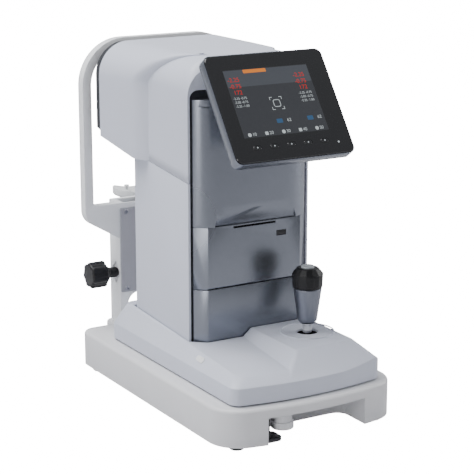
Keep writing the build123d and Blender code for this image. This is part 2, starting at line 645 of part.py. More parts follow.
with BuildPart() as joystick_knob:
    with BuildSketch(Plane.XY.offset(157)):
        with Locations((JOY_X, JOY_Y)):
            RegularPolygon(18.4, 14)
    with BuildSketch(Plane.XY.offset(174)):
        with Locations((JOY_X, JOY_Y)):
            RegularPolygon(19.2, 14)
    loft(ruled=True)
    with BuildSketch(Plane.XY.offset(174)):
        with Locations((JOY_X, JOY_Y)):
            RegularPolygon(19.2, 14)
    with BuildSketch(Plane.XY.offset(181.4)):
        with Locations((JOY_X, JOY_Y)):
            RegularPolygon(13, 14)
    loft(ruled=True)
    with Locations((JOY_X, JOY_Y, 165)):
        Cylinder(6 + RUN, 30, mode=Mode.SUBTRACT)
    with Locations((JOY_X, JOY_Y, 178)):
        Cylinder(8.3, 10, mode=Mode.SUBTRACT)
write(joystick_knob, "joystick_knob")

with BuildPart() as measure_button:
    with Locations((JOY_X, JOY_Y, 179.8)):
        Cylinder(8.2, 8)
    fillet(measure_button.faces().sort_by(Axis.Z)[-1].edges(), 1.5)
write(measure_button, "measure_button")

# ================================================================ head: structure
BENCH_Z = 322.0
with BuildPart() as head_chassis:
    with Locations((0, SLIDE_Y, 167)):
        Box(140, 24, 18)
    with Locations((0, SLIDE_Y, 212.5)):
        Box(140, 24, 15)
    with Locations((-72, SLIDE_Y, (150 + BENCH_Z) / 2), (72, SLIDE_Y, (150 + BENCH_Z) / 2)):
        Box(4, 60, BENCH_Z - 150)
    with Locations((0, 31.5, BENCH_Z + 2)):
        Box(150, 173, 4)
    with Locations((-POST_X, SLIDE_Y, 190), (POST_X, SLIDE_Y, 190)):
        Cylinder(POST_R + RUN, 100, mode=Mode.SUBTRACT)
    with Locations((0, SLIDE_Y, 212)):
        Cylinder(7, 40, mode=Mode.SUBTRACT)
    with Locations((0, SLIDE_Y, 167)):
        Cylinder(10, 18, mode=Mode.SUBTRACT)
    with Locations((0, SLIDE_Y, BENCH_Z)):
        Box(60, 50, 20, mode=Mode.SUBTRACT)
write(head_chassis, "head_chassis")

with BuildPart() as lift_nut:
    with Locations((0, SLIDE_Y, 167)):
        Cylinder(10, 18)
    with Locations((0, SLIDE_Y, 156)):
        Cylinder(14, 4)
    with Locations((0, SLIDE_Y, 166)):
        Cylinder(SCREW_R + RUN, 30, mode=Mode.SUBTRACT)
write(lift_nut, "lift_nut")

# ================================================================ head: covers
with BuildPart() as column_cover:
    with BuildSketch(Plane.XY.offset(COL_Z0)) as plan:
        with Locations((0, (COL_FRONT + COL_REAR) / 2)):
            Rectangle(2 * COL_HALF, COL_REAR - COL_FRONT)
        fillet(plan.vertices().group_by(Axis.Y)[-1], 9)
    extrude(amount=250)
    with BuildSketch(Plane.XY.offset(COL_Z0)) as inside:
        with Locations((0, (COL_FRONT + COL_REAR) / 2 - WALL)):
            Rectangle(2 * (COL_HALF - WALL), COL_REAR - COL_FRONT)
        fillet(inside.vertices().group_by(Axis.Y)[-1], 6)
    extrude(amount=250, mode=Mode.SUBTRACT)
    for x in (-60, 60):
        for z in (140, 260):
            with Locations((x, 63.8, z)):
                Cylinder(3, 6.4, rotation=(90, 0, 0))
    add(head_floor(-0.7), mode=Mode.INTERSECT)
write(column_cover, "column_cover")

with BuildPart() as head_cover:
    add(head_solid(0))
    add(head_floor(0), mode=Mode.SUBTRACT)
    add(head_cavity(), mode=Mode.SUBTRACT)
    with BuildSketch(Plane.XZ.offset(-COL_FRONT + 5)) as arch:
        with Locations((0, ARCH_TOP - 75)):
            Rectangle(2 * (COL_HALF - WALL), 150)
        fillet(arch.vertices().group_by(Axis.Y)[-1], 10)
    extrude(amount=-9, mode=Mode.SUBTRACT)
    with Locations((0, (COL_FRONT + COL_REAR) / 2, 290)):
        Box(2 * (COL_HALF - WALL), COL_REAR - COL_FRONT - 2 * WALL, 50, mode=Mode.SUBTRACT)
write(head_cover, "head_cover")

with BuildPart() as front_frame:
    with BuildSketch(Plane.XZ.offset(71.3)) as outline:
        with Locations((0, (COL_Z0 + ARCH_TOP - 0.4) / 2)):
            Rectangle(2 * (COL_HALF - WALL - 0.2), ARCH_TOP - 0.4 - COL_Z0)
        fillet(outline.vertices().group_by(Axis.Y)[-1], 9.6)
        with Locations((0, 240)):
            Rectangle(140, 284, mode=Mode.SUBTRACT)
        with Locations((0, 388)):
            Rectangle(28, 17, mode=Mode.SUBTRACT)
    extrude(amount=1)
write(front_frame, "front_frame")


def flat_panel(z0, z1):
    """A front panel shell between two heights, open at the back."""
    with BuildPart() as shell:
        with BuildSketch(Plane.XY.offset(z0)):
            add(panel_outline(0))
        extrude(amount=z1 - z0)
        with BuildSketch(Plane.XY.offset(z0)):
            add(panel_outline(WALL))
        extrude(amount=z1 - z0, mode=Mode.SUBTRACT)
    return shell.part


with BuildPart() as lower_panel:
    add(flat_panel(COL_Z0, LOWER_TOP))
write(lower_panel, "lower_panel")

SLOT_Z = 230.0
with BuildPart() as printer_door:
    add(flat_panel(DOOR_BOTTOM, DOOR_TOP))
    fillet(
        printer_door.edges().filter_by(Axis.X).group_by(Axis.Z)[0].group_by(Axis.Y)[0], 2.2
    )
    with Locations((0, PANEL_FACE, SLOT_Z)):
        Box(60, 12, 2.6, mode=Mode.SUBTRACT)
    with Locations((38, PANEL_FACE, 215.5)):
        Box(14, 12, 7, mode=Mode.SUBTRACT)
write(printer_door, "printer_door")

with BuildPart() as door_latch:
    with Locations((38, PANEL_FACE + 2.2, 215.5)):
        Box(13.2, 5, 6.2)
    chamfer(door_latch.faces().sort_by(Axis.Y)[0].edges(), 0.8)
write(door_latch, "door_latch")

SCOOP_DEPTH = 7.5
with BuildPart() as scoop:
    with BuildSketch(Plane.XZ.offset(100)):
        with BuildLine():
            Polyline((-57, DOOR_TOP - 4), (-57, DOOR_TOP + 3))
            ThreePointArc((-57, DOOR_TOP + 3), (-50, DOOR_TOP + 14.5), (-36, DOOR_TOP + 18.5))
            ThreePointArc((-36, DOOR_TOP + 18.5), (0, DOOR_TOP + 20.5), (36, DOOR_TOP + 18.5))
            ThreePointArc((36, DOOR_TOP + 18.5), (50, DOOR_TOP + 14.5), (57, DOOR_TOP + 3))
            Polyline((57, DOOR_TOP + 3), (57, DOOR_TOP - 4), (-57, DOOR_TOP - 4))
        make_face()
    extrude(amount=-(100 + PANEL_FACE) - 1)
    slant = Plane(origin=(0, PANEL_FACE + 1, DOOR_TOP), x_dir=(1, 0, 0), z_dir=(0, 20, SCOOP_DEPTH))
    split(bisect_by=slant, keep=Keep.BOTTOM)

with BuildPart() as upper_panel:
    with BuildSketch(Plane.XY.offset(DOOR_TOP + 0.6)):
        with BuildLine():
            Polyline((PANEL_HALF, COL_FRONT - 1.5), (PANEL_HALF, COL_FRONT + 2), (-PANEL_HALF, COL_FRONT + 2),
                     (-PANEL_HALF, COL_FRONT - 1.5))
            Spline((-PANEL_HALF, COL_FRONT - 1.5), (-PANEL_FLAT, PANEL_FACE + 0.2), (-34, PANEL_FACE - 5.4),
                   (0, PANEL_FACE - 6.8), (34, PANEL_FACE - 5.4), (PANEL_FLAT, PANEL_FACE + 0.2),
                   (PANEL_HALF, COL_FRONT - 1.5))
        make_face()
    extrude(amount=PANEL_TOP - DOOR_TOP - 0.6)
    with BuildSketch(Plane.XY.offset(DOOR_TOP + 0.6)):
        add(panel_outline(WALL))
    extrude(amount=PANEL_TOP - DOOR_TOP - 0.6 - WALL, mode=Mode.SUBTRACT)
    add(scoop.part, mode=Mode.SUBTRACT)
    with Locations((0, COL_FRONT - 30, PANEL_TOP - 8)):
        Box(2 * PANEL_HALF, 60 - 14.2, 0.8, mode=Mode.SUBTRACT)
write(upper_panel, "upper_panel")

with BuildPart() as bezel_room:
    add(head_section(HOOD_REAR - 6, HOOD_HALF - 2 * WALL, HOOD_TOP - 2 * WALL, 36))
    add(head_section(BEZEL_REAR - WALL, HOOD_HALF - 2 * WALL - 2, HOOD_TOP - 2 * WALL - 2, 35))
    loft(ruled=True)
    add(head_floor(2 * WALL), mode=Mode.SUBTRACT)

with BuildPart() as bezel_insert:
    add(head_section(HOOD_REAR - 6, HOOD_HALF - WALL - 0.8, HOOD_TOP - WALL - 0.8, 38.6))
    add(head_section(HOOD_REAR, HOOD_HALF - WALL - 0.8, HOOD_TOP - WALL - 0.8, 38.6))
    loft(ruled=True)
    add(head_floor(WALL + 0.5), mode=Mode.SUBTRACT)

with BuildPart() as rear_bezel:
    add(head_section(HOOD_REAR, HOOD_HALF - 0.4, HOOD_TOP - 0.4, 41.6))
    add(head_section(BEZEL_REAR, HOOD_HALF - 1.2, HOOD_TOP - 1.6, 41))
    loft(ruled=True)
    add(head_floor(7), mode=Mode.SUBTRACT)
    add(bezel_insert.part)
    add(bezel_room.part, mode=Mode.SUBTRACT)
    with Locations((0, BEZEL_REAR, OPTIC_Z)):
        Cylinder(WINDOW_R, 20, rotation=(90, 0, 0), mode=Mode.SUBTRACT)
write(rear_bezel, "rear_bezel")

with BuildPart() as window_glass:
    with Locations((0, BEZEL_REAR - WALL - 1.25, OPTIC_Z)):
        Cylinder(WINDOW_R + 3.5, 2.5, rotation=(90, 0, 0))
write(window_glass, "window_glass")

# ================================================================ head: optics and electronics
BARREL_R, BARREL_Y0, BARREL_Y1 = 20.0, 12.0, 128.0
LENS_CURVE = 45.0
with BuildPart() as optical_barrel:
    with Locations((0, (BARREL_Y0 + BARREL_Y1) / 2, OPTIC_Z)):
        Cylinder(BARREL_R, BARREL_Y1 - BARREL_Y0, rotation=(90, 0, 0))
    for y in (36, 100):
        with Locations((0, y, (BENCH_Z + 4 + OPTIC_Z) / 2)):
            Box(26, 12, OPTIC_Z - BENCH_Z - 4)
    with Locations((0, BARREL_Y1 - 56, OPTIC_Z)):
        Cylinder(BARREL_R - 2.5, 112, rotation=(90, 0, 0), mode=Mode.SUBTRACT)
    with Locations((0, BARREL_Y0, OPTIC_Z)):
        Cylinder(9, 20, rotation=(90, 0, 0), mode=Mode.SUBTRACT)
write(optical_barrel, "optical_barrel")

with BuildPart() as objective_lens:
    with Locations((0, 119, OPTIC_Z)):
        Cylinder(BARREL_R - 2.5, 10, rotation=(90, 0, 0))
    with Locations((0, 124 - LENS_CURVE, OPTIC_Z)):
        Sphere(LENS_CURVE, mode=Mode.INTERSECT)
write(objective_lens, "objective_lens")

with BuildPart() as led_ring:
    with BuildSketch(Plane.XZ.offset(-121)) as ring:
        with Locations((0, OPTIC_Z)):
            Circle(BARREL_R + 9)
            Circle(BARREL_R, mode=Mode.SUBTRACT)
    extrude(amount=-1.6)
    with BuildSketch(Plane.XZ.offset(-122.6)):
        with Locations((0, OPTIC_Z)):
            with PolarLocations(BARREL_R + 4.5, 12):
                Circle(2.5)
    extrude(amount=-2.4)
write(led_ring, "led_ring")

with BuildPart() as main_board:
    with BuildSketch(Plane.XZ.offset(-59)):
        with Locations((0, 200)):
            RectangleRounded(134, 150, 3)
            with GridLocations(120, 120, 2, 2):
                Circle(1.6, mode=Mode.SUBTRACT)
    extrude(amount=-1.6)
    for x, z, w, h, t in [(-30, 220, 30, 30, 4), (25, 230, 16, 16, 2.5), (30, 175, 24, 12, 3), (-35, 160, 40, 10, 9)]:
        with Locations((x, 59 - t / 2, z)):
            Box(w, t, h)
write(main_board, "main_board")

CRADLE_Y0, CRADLE_Y1 = -68.0, -17.5
ROLL_Y, ROLL_Z, ROLL_R = -45.0, 184.0, 20.0
with BuildPart() as printer_cradle:
    with BuildSketch(Plane.YZ.offset(-34)) as side:
        with Locations(((CRADLE_Y0 + CRADLE_Y1) / 2, 185)):
            Rectangle(CRADLE_Y1 - CRADLE_Y0, 54)
        chamfer(side.vertices().sort_by(Axis.X)[:1].sort_by(Axis.Y), 12)
    extrude(amount=68)
    with BuildSketch(Plane.YZ.offset(-31)):
        with Locations((ROLL_Y, ROLL_Z)):
            Circle(ROLL_R + 2.2)
        with Locations((ROLL_Y, ROLL_Z + 20)):
            Rectangle(2 * ROLL_R + 4.4, 40)
    extrude(amount=62, mode=Mode.SUBTRACT)
write(printer_cradle, "printer_cradle")

PLATEN_Y, PLATEN_Z = -76.5, 221.0
with BuildPart() as print_mechanism:
    with Locations((0, -52, 220)):
        Box(68, 24, 16)
    for x in (-33, 33):
        with Locations((x, -68, 220)):
            Box(3, 27, 13)
    with Locations((0, PLATEN_Y, PLATEN_Z)):
        Cylinder(2 + RUN, 80, rotation=(0, 90, 0), mode=Mode.SUBTRACT)
write(print_mechanism, "print_mechanism")

with BuildPart() as platen_roller:
    with Locations((0, PLATEN_Y, PLATEN_Z)):
        Cylinder(5, 60, rotation=(0, 90, 0))
        Cylinder(2, 70, rotation=(0, 90, 0))
write(platen_roller, "platen_roller")

with BuildPart() as paper_roll:
    with Locations((0, ROLL_Y, ROLL_Z)):
        Cylinder(ROLL_R, 57, rotation=(0, 90, 0))
        Cylinder(6, 57, rotation=(0, 90, 0), mode=Mode.SUBTRACT)
write(paper_roll, "paper_roll")

# ================================================================ monitor and its bracket
with BuildPart() as monitor_bracket:
    with Locations((0, -52, (BENCH_Z + 4 + 396.5) / 2)):
        Box(20, 4, 396.5 - BENCH_Z - 4)
    with Locations((0, (HINGE_Y - 50) / 2, HINGE_Z)):
        Box(20, -50 - HINGE_Y, 7)
    with Locations((0, HINGE_Y, HINGE_Z)):
        Cylinder(5.5, 20, rotation=(0, 90, 0))
        Cylinder(3, 44, rotation=(0, 90, 0))
write(monitor_bracket, "monitor_bracket")

GLASS = Plane(
    origin=(0, MON_Y, MON_Z),
    x_dir=(1, 0, 0),
    z_dir=(0, -cos(radians(MON_TILT)), sin(radians(MON_TILT))),
)
UP_Y, UP_Z = sin(radians(MON_TILT)), cos(radians(MON_TILT))
BACK = -GLASS_T - SHELL_DEPTH


def on_back(along, behind):
    """Point in the YZ plane, given along the monitor's back and behind its front face."""
    return (MON_Y + along * UP_Y + behind * UP_Z, MON_Z + along * UP_Z - behind * UP_Y)


with BuildPart() as monitor_shell:
    with BuildSketch(GLASS.offset(BACK)):
        RectangleRounded(GLASS_W - 8, GLASS_H - 8, 8)
    with BuildSketch(GLASS.offset(BACK + 7)):
        RectangleRounded(GLASS_W + 2.4, GLASS_H + 2.4, 9)
    loft(ruled=True)
    with BuildSketch(GLASS.offset(BACK + 7)):
        RectangleRounded(GLASS_W + 2.4, GLASS_H + 2.4, 9)
    extrude(amount=-BACK - 7 - 1.6)
    with BuildSketch(GLASS.offset(-GLASS_T)):
        RectangleRounded(GLASS_W + 0.2, GLASS_H + 0.2, 8)
    extrude(amount=GLASS_T, mode=Mode.SUBTRACT)
    with BuildSketch(GLASS.offset(BACK + WALL)):
        RectangleRounded(GLASS_W - 14, GLASS_H - 14, 6)
    extrude(amount=SHELL_DEPTH - WALL, mode=Mode.SUBTRACT)
    for x in (-22, 11.2):
        with BuildSketch(Plane.YZ.offset(x)):
            with Locations((HINGE_Y, HINGE_Z)):
                Circle(6.5)
            with BuildLine():
                Polyline(
                    on_back(18, -BACK - 1.5), on_back(48, -BACK - 1.5),
                    (HINGE_Y + 3, HINGE_Z + 6), (HINGE_Y + 2, HINGE_Z - 6), close=True,
                )
            make_face()
        extrude(amount=10.8)
    with Locations((0, HINGE_Y, HINGE_Z)):
        Cylinder(3 + RUN, 60, rotation=(0, 90, 0), mode=Mode.SUBTRACT)
write(monitor_shell, "monitor_shell")

KEY_SPOTS = [(KEY_X0 + i * KEY_STEP, KEY_V) for i in range(KEY_COUNT)]
with BuildPart() as monitor_glass:
    with BuildSketch(GLASS.offset(-GLASS_T)):
        RectangleRounded(GLASS_W, GLASS_H, 8)
        with Locations(*KEY_SPOTS):
            SlotOverall(11.4, 5.4, mode=Mode.SUBTRACT)
    extrude(amount=GLASS_T)
    chamfer(monitor_glass.faces().sort_by(Axis(GLASS.origin, GLASS.z_dir))[-1].outer_wire().edges(), 0.5)
write(monitor_glass, "monitor_glass")

with BuildPart() as lcd_panel:
    with BuildSketch(GLASS.offset(-GLASS_T - 4)):
        with Locations((-4, 5.7)):
            RectangleRounded(122, 93, 2)
    extrude(amount=4)
write(lcd_panel, "lcd_panel")

for number, spot in enumerate(KEY_SPOTS, start=1):
    with BuildPart() as key:
        with BuildSketch(GLASS.offset(-4.2)):
            with Locations(spot):
                SlotOverall(10.8, 4.8)
        extrude(amount=4.5)
        chamfer(key.faces().sort_by(Axis(GLASS.origin, GLASS.z_dir))[-1].edges(), 0.3)
    write(key, f"key_{number}")
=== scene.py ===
import json
import math
from math import cos, radians, sin

import bmesh
import bpy
from mathutils import Matrix, Vector


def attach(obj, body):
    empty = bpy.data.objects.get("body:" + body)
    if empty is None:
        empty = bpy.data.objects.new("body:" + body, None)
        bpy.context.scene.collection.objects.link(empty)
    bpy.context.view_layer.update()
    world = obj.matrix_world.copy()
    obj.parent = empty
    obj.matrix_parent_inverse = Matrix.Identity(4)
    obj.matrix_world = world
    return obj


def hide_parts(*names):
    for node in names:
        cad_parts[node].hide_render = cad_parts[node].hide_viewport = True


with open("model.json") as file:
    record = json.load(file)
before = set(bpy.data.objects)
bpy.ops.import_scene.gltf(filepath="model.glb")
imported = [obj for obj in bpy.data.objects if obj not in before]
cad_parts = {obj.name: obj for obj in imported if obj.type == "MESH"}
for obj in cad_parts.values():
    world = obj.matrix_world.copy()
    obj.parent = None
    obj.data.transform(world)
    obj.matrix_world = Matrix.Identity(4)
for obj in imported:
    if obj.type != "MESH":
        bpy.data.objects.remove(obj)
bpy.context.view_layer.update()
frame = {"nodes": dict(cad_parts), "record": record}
MM = 0.001

# ---------------------------------------------------------------- camera, floor and light
CAMERA_AZIMUTH, CAMERA_HEIGHT = -30.69, 14.09      # degrees round the object and above the horizon
CAMERA_DISTANCE, CAMERA_LENS = 2.0486, 122.97
CAMERA_AIM = Vector((0.02121, -0.010, 0.19475))

LIGHTS_AIM = Vector((0, 0, 0.2))
SOFTBOXES = (      # name, azimuth, height, distance, size, watts
    ("top_light", -118, 68, 2.3, (1.6, 1.6), 80),
    ("left_light", -104, 16, 2.4, (1.0, 1.8), 5),
    ("front_left_light", -56, 8, 2.6, (0.6, 1.6), 19),
    ("right_light", 74, 20, 2.3, (0.9, 1.6), 26),
    ("front_fill", -12, 24, 3.2, (1.6, 1.2), 2),
)
ROOM_DIM, ROOM_BRIGHT = 0.12, 0.62                 # the world's strength in front and behind
FLOOR_REACH = 60.0
FLOOR_GLOW, FLOOR_GLOW_SEEN = 0.04, 16.0           # onto the object, and to the camera


def look_from(azimuth, height, distance, aim):
    """Place and turn of something that looks at aim from that side."""
    a, e = radians(azimuth), radians(height)
    back = Vector((sin(a) * cos(e), -cos(a) * cos(e), sin(e)))
    turn = (-back).to_track_quat("-Z", "Y").to_matrix().to_4x4()
    return Matrix.Translation(aim + back * distance) @ turn


def make_camera():
    """The photograph's own viewpoint."""
    data = bpy.data.cameras.new("camera")
    data.lens = CAMERA_LENS
    data.sensor_width = 36.0
    data.clip_start, data.clip_end = 0.1, 150.0
    camera = bpy.data.objects.new("camera", data)
    camera.matrix_world = look_from(CAMERA_AZIMUTH, CAMERA_HEIGHT, CAMERA_DISTANCE, CAMERA_AIM)
    bpy.context.scene.collection.objects.link(camera)
    bpy.context.scene.camera = camera


def softbox(name, azimuth, height, distance, size, watts):
    """A white area light, of a size in metres, turned to the middle of the object."""
    data = bpy.data.lights.new(name, "AREA")
    data.shape = "RECTANGLE"
    data.size, data.size_y = size
    data.energy = watts
    light = bpy.data.objects.new(name, data)
    light.matrix_world = look_from(azimuth, height, distance, LIGHTS_AIM)
    bpy.context.scene.collection.objects.link(light)


def make_world():
    """A dim room, lighter overhead and behind the object than in front of it."""
    world = bpy.data.worlds.new("studio")
    bpy.context.scene.world = world
    world.use_nodes = True
    tree = world.node_tree
    background = tree.nodes["Background"]
    background.inputs["Color"].default_value = (0.92, 0.95, 1.0, 1)
    place = tree.nodes.new("ShaderNodeTexCoord")
    parts = tree.nodes.new("ShaderNodeSeparateXYZ")
    span = tree.nodes.new("ShaderNodeMapRange")
    span.inputs["From Min"].default_value = -0.95
    span.inputs["From Max"].default_value = -0.1
    span.inputs["To Min"].default_value = ROOM_DIM
    span.inputs["To Max"].default_value = ROOM_BRIGHT
    tree.links.new(place.outputs["Generated"], parts.inputs["Vector"])
    tree.links.new(parts.outputs["Y"], span.inputs["Value"])
    tree.links.new(span.outputs["Result"], background.inputs["Strength"])


def make_floor():
    """A pale flat floor.

    Its glow is stronger to camera rays than to other rays: it is seen as white, from any side,
    and throws little light back up. It is staging, and isn't exported.
    """
    mesh = bpy.data.meshes.new("floor")
    turns = ((-1, -1), (1, -1), (1, 1), (-1, 1))
    corners = [(x * FLOOR_REACH, y * FLOOR_REACH, 0) for x, y in turns]
    mesh.from_pydata(corners, [], [(0, 1, 2, 3)])
    floor = bpy.data.objects.new("floor", mesh)
    bpy.context.scene.collection.objects.link(floor)
    paint = Paint("floor_paper", (0.52, 0.52, 0.54), 0.85, Emission_Color=(1, 1, 1, 1))
    paint.mottle(3.0, 0.01)
    seen = paint.node("ShaderNodeLightPath")
    glow = paint.node("ShaderNodeMapRange")
    glow.inputs["To Min"].default_value = FLOOR_GLOW
    glow.inputs["To Max"].default_value = FLOOR_GLOW_SEEN
    paint.link(seen.outputs["Is Camera Ray"], glow.inputs["Value"])
    paint.link(glow.outputs["Result"], paint.shader.inputs["Emission Strength"])
    mesh.materials.append(paint.material)


def make_studio():
    """The room, its softboxes and the floor."""
    make_world()
    for setting in SOFTBOXES:
        softbox(*setting)
    make_floor()


# ---------------------------------------------------------------- materials
NOISE_LOW, NOISE_HIGH = 0.3, 0.7       # the part of the noise's range that colour and gloss follow
ALONG_X, ALONG_Y, ALONG_Z = (0.04, 1, 1), (1, 0.04, 1), (1, 1, 0.04)


class Paint:
    """A procedural material: one shader, its colour, gloss and relief varied by noise."""

    def __init__(self, name, colour, roughness, **constants):
        self.material = bpy.data.materials.new(name)
        self.material.use_nodes = True
        self.tree = self.material.node_tree
        self.shader = self.tree.nodes["Principled BSDF"]
        self.place = self.node("ShaderNodeTexCoord").outputs["Object"]
        self.colour, self.roughness = colour, roughness
        self.set("Base Color", (*colour, 1))
        self.set("Roughness", roughness)
        for socket, value in constants.items():
            self.set(socket.replace("_", " "), value)
        self.relief = None

    def node(self, kind):
        return self.tree.nodes.new(kind)

    def set(self, socket, value):
        self.shader.inputs[socket].default_value = value

    def link(self, a, b):
        self.tree.links.new(a, b)

    def noise(self, scale, detail=3.0, stretch=None):
        texture = self.node("ShaderNodeTexNoise")
        texture.inputs["Scale"].default_value = scale
        texture.inputs["Detail"].default_value = detail
        source = self.place
        if stretch:
            mapping = self.node("ShaderNodeMapping")
            mapping.inputs["Scale"].default_value = stretch
            self.link(self.place, mapping.inputs["Vector"])
            source = mapping.outputs["Vector"]
        self.link(source, texture.inputs["Vector"])
        return texture.outputs["Fac"]

    def ramp(self, value, low, high):
        """Colours from low to high as the noise rises."""
        ramp = self.node("ShaderNodeValToRGB")
        ramp.color_ramp.elements[0].position = NOISE_LOW
        ramp.color_ramp.elements[1].position = NOISE_HIGH
        ramp.color_ramp.elements[0].color = (*low, 1)
        ramp.color_ramp.elements[1].color = (*high, 1)
        self.link(value, ramp.inputs["Fac"])
        return ramp.outputs["Color"]

    def mottle(self, scale, amount, **how):
        """Slight light and dark areas in the colour."""
        low = [max(0.0, c * (1 - amount)) for c in self.colour]
        high = [min(1.0, c * (1 + amount)) for c in self.colour]
        colours = self.ramp(self.noise(scale, **how), low, high)
        self.link(colours, self.shader.inputs["Base Color"])
        return self

    def gloss(self, scale, spread, **how):
        """Roughness that varies by spread on each side."""
        span = self.node("ShaderNodeMapRange")
        span.inputs["From Min"].default_value = NOISE_LOW
        span.inputs["From Max"].default_value = NOISE_HIGH
        span.inputs["To Min"].default_value = max(0.02, self.roughness - spread)
        span.inputs["To Max"].default_value = self.roughness + spread
        self.link(self.noise(scale, **how), span.inputs["Value"])
        self.link(span.outputs["Result"], self.shader.inputs["Roughness"])
        return self

    def grain(self, scale, depth, strength=0.5, **how):
        """Relief of that depth in metres, added to what is there already."""
        bump = self.node("ShaderNodeBump")
        bump.inputs["Strength"].default_value = strength
        bump.inputs["Distance"].default_value = depth
        self.link(self.noise(scale, **how), bump.inputs["Height"])
        if self.relief is not None:
            self.link(self.relief, bump.inputs["Normal"])
        self.relief = bump.outputs["Normal"]
        self.link(self.relief, self.shader.inputs["Normal"])
        return self


def moulded(name, colour, roughness=0.42, grain=0.00006, **constants):
    """Fine-textured moulded plastic."""
    paint = Paint(name, colour, roughness, **constants)
    return paint.mottle(14, 0.018).gloss(60, 0.05).grain(1500, grain).material


def metal(name, colour, roughness, stretch=None, **constants):
    """Bare metal with the fine lines that turning or grinding leaves."""
    paint = Paint(name, colour, roughness, Metallic=1.0, **constants)
    paint.mottle(160, 0.10, stretch=stretch)
    return paint.gloss(300, 0.06, stretch=stretch).grain(900, 0.00002, stretch=stretch).material


def silver_paint(name, colour, roughness):
    """Metallic paint: flakes that catch the light under a thin clear coat."""
    paint = Paint(name, colour, roughness, Metallic=0.84, Coat_Weight=0.06, Coat_Roughness=0.3)
    paint.mottle(18, 0.02, detail=1.0)
    return paint.gloss(8, 0.015, detail=1.0).grain(900, 0.000004, 0.2, detail=1.0).material


def lens_material(name, tint, roughness):
    """Coated glass, dark behind, with a faint bloom on its face."""
    paint = Paint(name, tint, roughness, Transmission_Weight=0.35, IOR=1.5, Coat_Weight=0.8,
                  Coat_Roughness=0.02)
    return paint.mottle(40, 0.05).gloss(90, 0.01).material


def make_materials():
    """Every material, under the name of the record's slot."""
    return {
        "shell_white": moulded("shell_white", (0.575, 0.60, 0.69)),
        "base_grey": moulded("base_grey", (0.70, 0.70, 0.72)),
        "frame_paint": moulded("frame_paint", (0.84, 0.85, 0.87), 0.38, 0.00004),
        "panel_silver": silver_paint("panel_silver", (0.225, 0.24, 0.275), 0.27),
        "plate_grey": moulded("plate_grey", (0.36, 0.36, 0.40), 0.45, 0.00005),
        "dark_plastic": moulded("dark_plastic", (0.022, 0.024, 0.030), 0.5),
        "knob_black": moulded("knob_black", (0.006, 0.006, 0.007), 0.38, 0.00003,
                              Specular_IOR_Level=0.35),
        "chrome": metal("chrome", (0.78, 0.78, 0.77), 0.09, ALONG_Z),
        "grip_silver": metal("grip_silver", (0.20, 0.21, 0.245), 0.34, ALONG_Z),
        "button_grey": moulded("button_grey", (0.42, 0.45, 0.47), 0.30, 0.00002),
        "steel": metal("steel", (0.55, 0.55, 0.56), 0.28, ALONG_Y),
        "dark_steel": metal("dark_steel", (0.06, 0.06, 0.065), 0.32, ALONG_X),
        "cast_alu": metal("cast_alu", (0.48, 0.48, 0.49), 0.45),
        "brass": metal("brass", (0.60, 0.44, 0.20), 0.30, ALONG_X),
        "screen_glass": moulded("screen_glass", (0.007, 0.007, 0.008), 0.10, 0.000002,
                                Coat_Weight=0.6),
        "lens_glass": lens_material("lens_glass", (0.55, 0.65, 0.72), 0.03),
        "window_glass": lens_material("window_glass", (0.05, 0.06, 0.08), 0.05),
        "lcd": moulded("lcd", (0.02, 0.022, 0.028), 0.3, 0.000002),
        "rubber": moulded("rubber", (0.018, 0.018, 0.020), 0.75, 0.00012),
        "pad": moulded("pad", (0.62, 0.63, 0.66), 0.55, 0.0001, Subsurface_Weight=0.05),
        "pcb": moulded("pcb", (0.012, 0.11, 0.035), 0.35, 0.00003, Coat_Weight=0.3),
        "paper": moulded("paper", (0.80, 0.80, 0.78), 0.85, 0.00005),
        "key": moulded("key", (0.012, 0.012, 0.014), 0.18, 0.000004, Coat_Weight=0.4),
        "latch": moulded("latch", (0.012, 0.012, 0.015), 0.40, 0.00002),
        "cup": moulded("cup", (0.76, 0.77, 0.78), 0.30, 0.00002),
        "screws": metal("screws", (0.42, 0.42, 0.46), 0.30),
    }


# ---------------------------------------------------------------- the CAD's own pieces
EDGE_RADIUS = {                  # how far each moulding's edges are rounded, in millimetres
    "base_housing": 0.8, "headrest_frame": 2.4, "trunk_plate": 0.3, "stage_cover": 1.8,
    "column_cover": 0.7, "rear_bezel": 0.8, "upper_panel": 0.7, "lower_panel": 0.6,
    "printer_door": 0.6, "door_latch": 0.3, "monitor_shell": 1.0, "joystick_knob": 1.4,
    "joystick_grip": 0.5, "chin_knob": 0.5, "chin_cup": 1.0, "chin_carriage": 0.6,
    "lock_knob": 0.4, "lock_bracket": 0.5, "power_rocker": 0.3, "inlet_socket": 0.4,
    "lift_motor": 0.4, "cross_slide": 0.5, "monitor_bracket": 0.5, "printer_cradle": 0.6,
}
WELD_DISTANCE = 0.01 * MM
BEVEL_FROM_ANGLE = radians(38)


def dress_cad(materials):
    """Give every CAD node its material, smooth shading and rounded edges."""
    slots = {row["node"]: row["material_slot"] for row in frame["record"]["subparts"]}
    for name, node in frame["nodes"].items():
        node.data.materials.clear()
        node.data.materials.append(materials[slots[name]])
        smooth(node.data)
        if name in EDGE_RADIUS:
            weld = node.modifiers.new("weld", "WELD")
            weld.merge_threshold = WELD_DISTANCE
            bevel = node.modifiers.new("edges", "BEVEL")
            bevel.width = EDGE_RADIUS[name] * MM
            bevel.segments = 3
            bevel.limit_method = "ANGLE"
            bevel.angle_limit = BEVEL_FROM_ANGLE
            bevel.harden_normals = True


def smooth(mesh, angle=30):
    """Smooth shading over everything but the edges sharper than that angle."""
    mesh.shade_smooth()
    mesh.set_sharp_from_angle(angle=radians(angle))


# ---------------------------------------------------------------- pieces modelled here
def piece(name, mesh, material, body):
    """Put a finished mesh into the scene as a piece that rides on a body."""
    made = bpy.data.objects.new(name, mesh)
    bpy.context.scene.collection.objects.link(made)
    made.data.materials.append(material)
    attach(made, body)
    return made


